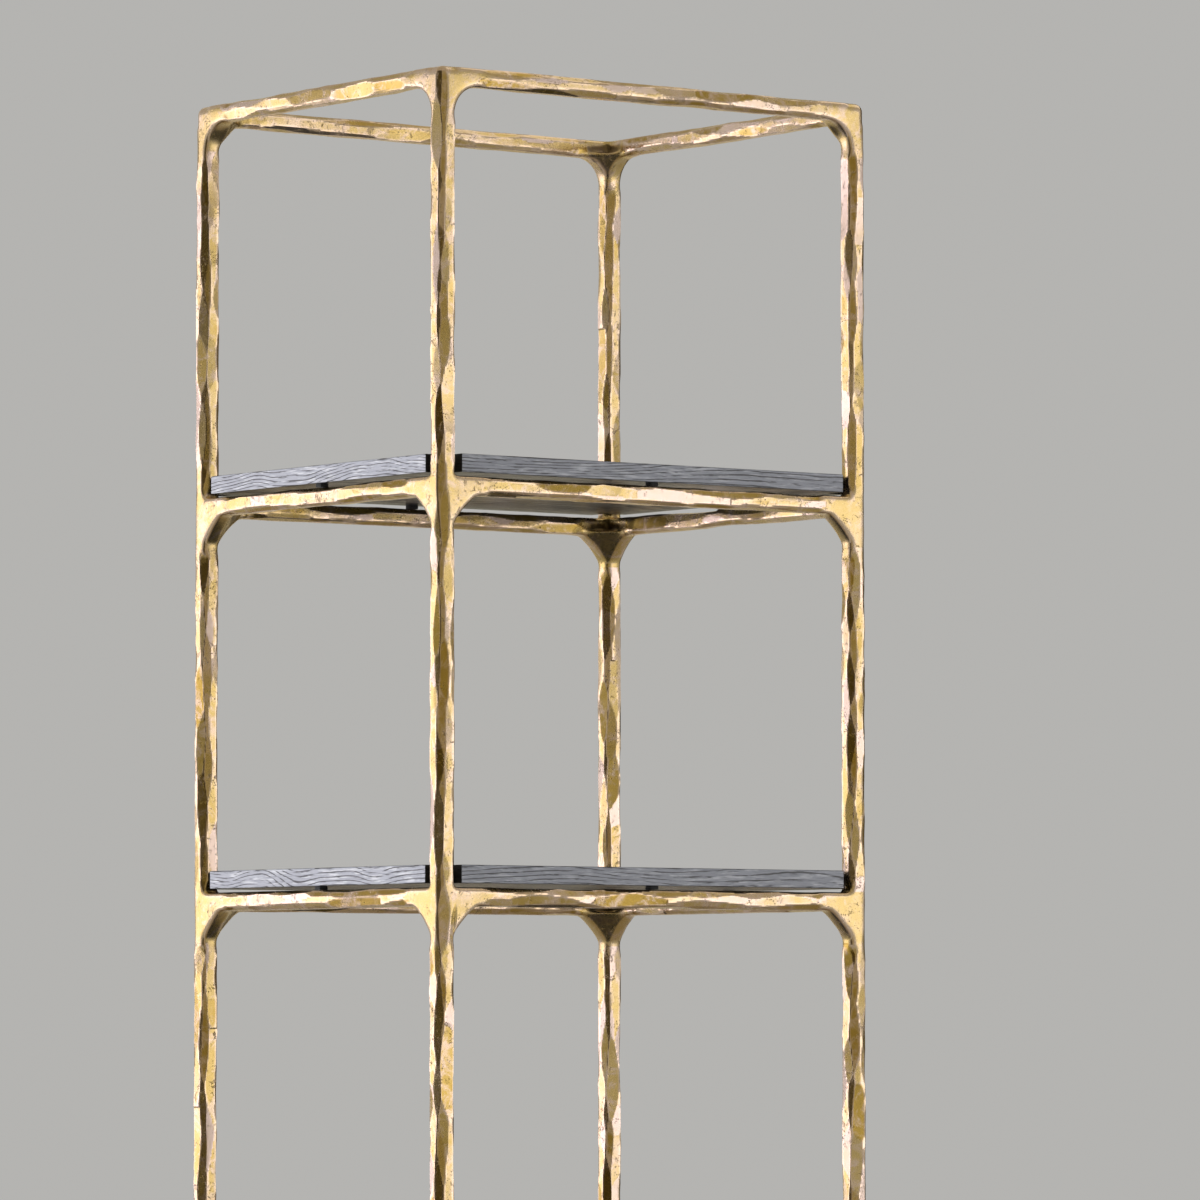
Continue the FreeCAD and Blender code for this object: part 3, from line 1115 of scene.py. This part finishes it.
def hang_cloth(name, turn, span, material):
    """A curved cloth that only the brass shows, as is hung near bright metal in a studio.
    It is centred on a turn and as wide as its span, both in degrees."""
    span = math.radians(span)
    first = Matrix.Rotation(math.radians(turn) - span / 2, 3, "Z")
    start = first @ Vector((CLOTH_RADIUS, 0, 0))
    bm = bmesh.new()
    foot = bm.verts.new(start)
    head = bm.verts.new(start + Z_AXIS * CLOTH_HEIGHT)
    edge = bm.edges.new((foot, head))
    bmesh.ops.spin(
        bm, geom=[foot, head, edge], cent=(0, 0, 0), axis=Z_AXIS, angle=span, steps=24)
    screen = mesh_object(name, bm)
    screen.data.materials.append(material)
    screen.visible_camera = False
    screen.visible_diffuse = False
    screen.visible_shadow = False
    screen.visible_transmission = False


def direct_rays(finish):
    """1 for rays that show the stage to the camera or in the brass, and 0 for all others."""
    camera = finish.add("LightPath", output="Is Camera Ray")
    glossy = finish.add("LightPath", output="Is Glossy Ray")
    return camera.math("MAXIMUM", camera, glossy)


def floor(settings):
    """A wide pale floor. Part of its look is its plain colour, and all of it far out, so that
    it runs on evenly into the background and still keeps the unit's shadow. Near the unit it is
    dimmer in the brass than to the camera: a painted shadow in dim brown, for the unit's own
    shadow."""
    radius = 20
    under_feet = Matrix.Translation((0, 0, -0.0005))
    reflected_shadow_brown = (0.23, 0.185, 0.12)
    bm = bmesh.new()
    bmesh.ops.create_circle(bm, cap_ends=True, segments=96, radius=radius, matrix=under_feet)
    obj = mesh_object("floor", bm)
    material, finish = new_finish("pale_floor")
    lit = finish.add(
        "BsdfPrincipled", {"Base Color": (*settings.stage_colour, 1), "Roughness": 0.9})
    distance = finish.add(
        "VectorMath", {0: finish.place()}, output="Value", operation="LENGTH")
    nearby = 1.0 - finish.step(distance, 1.2, 3.0)
    # Painted shadow: glossy rays near the unit see the floor in dim brown
    reflected_shadow = finish.add("LightPath", output="Is Glossy Ray") * nearby
    colour = finish.mix(reflected_shadow, settings.stage_colour, reflected_shadow_brown)
    plain = finish.add("Emission", {"Color": colour, "Strength": 1.0})
    share = finish.step(distance, 3.0, 13.0) * 0.25 + 0.75
    both = finish.add("MixShader", {0: direct_rays(finish) * share, 1: lit, 2: plain})
    finish.add("OutputMaterial", {"Surface": both})
    obj.data.materials.append(material)


def pale_world(settings):
    """A pale dome, darker overhead, that the camera and the brass see. All else is lit by an
    even, dimmer light."""
    world = bpy.data.worlds.new("studio")
    bpy.context.scene.world = world
    world.use_nodes = True
    finish = Finish(world.node_tree)
    way = finish.add("TexCoord", output="Generated")
    height = finish.add("SeparateXYZ", {"Vector": way}, output="Z")
    overhead = (0.40, 0.36, 0.28)
    dome = finish.mix(finish.step(height, 0.25, 0.75), settings.stage_colour, overhead)
    background = finish.add("Background", {"Color": dome, "Strength": 1.0})
    soft = finish.add("Background", {"Color": (0.9, 0.93, 1.0, 1), "Strength": 0.45})
    both = finish.add("MixShader", {0: direct_rays(finish), 1: soft, 2: background})
    finish.add("OutputWorld", {"Surface": both})


def photo_camera():
    """The camera in front of the unit, looking slightly up."""
    data = bpy.data.cameras.new("camera")
    data.lens = CAMERA_LENS
    data.sensor_width = CAMERA_SENSOR
    data.clip_end = 200
    camera = bpy.data.objects.new("camera", data)
    camera.location = CAMERA_PLACE
    camera.rotation_euler = (CAMERA_TILT, 0, CAMERA_TURN)
    bpy.context.scene.collection.objects.link(camera)
    bpy.context.scene.camera = camera


class SHELVING_OT_set_stage(bpy.types.Operator):
    """Set the floor, the background, the lamps and the camera"""

    bl_idname = "shelving.set_stage"
    bl_label = "Set Stage"

    def execute(self, context):
        settings = context.scene.shelving
        floor(settings)
        pale_world(settings)
        for lamp in LAMPS:
            soft_lamp(lamp)
        dark = dyed_cloth("dark_cloth", (0.145, 0.115, 0.055))
        tan = dyed_cloth("tan_cloth", (0.53, 0.455, 0.28))
        straw = dyed_cloth("straw_cloth", (0.85, 0.76, 0.55))
        for name, turn, bright in (("front", 180, tan), ("back", 0, straw)):
            hang_cloth(f"dark_{name}", turn + DARK_TURN, DARK_SPAN, dark)
            hang_cloth(f"bright_{name}", turn + BRIGHT_TURN, BRIGHT_SPAN, bright)
        photo_camera()
        view = context.scene.view_settings
        view.view_transform = "Standard"
        return {"FINISHED"}


class SHELVING_PT_pieces(bpy.types.Panel):
    """Lists the shelving unit's settings and the buttons of the operators that build its pieces
    """

    bl_idname = "SHELVING_PT_pieces"
    bl_label = "Forged Shelving Unit"
    bl_space_type = "VIEW_3D"
    bl_region_type = "UI"
    bl_category = "Shelving"

    def draw(self, context):
        for name in ShelvingSettings.__annotations__:
            self.layout.prop(context.scene.shelving, name)
        for operator in OPERATORS:
            self.layout.operator(operator.bl_idname)


OPERATORS = (
    SHELVING_OT_forge_frame,
    SHELVING_OT_cut_shelves,
    SHELVING_OT_place_pads,
    SHELVING_OT_fit_feet,
    SHELVING_OT_set_stage,
)


CLASSES = (ShelvingSettings, *OPERATORS, SHELVING_PT_pieces)


def register():
    for cls in CLASSES:
        bpy.utils.register_class(cls)
    bpy.types.Scene.shelving = bpy.props.PointerProperty(type=ShelvingSettings)


def unregister():
    del bpy.types.Scene.shelving
    for cls in reversed(CLASSES):
        bpy.utils.unregister_class(cls)


def main():
    register()
    bpy.ops.shelving.forge_frame()
    bpy.ops.shelving.cut_shelves()
    bpy.ops.shelving.place_pads()
    bpy.ops.shelving.fit_feet()
    bpy.ops.shelving.set_stage()


if __name__ == "__main__":
    main()
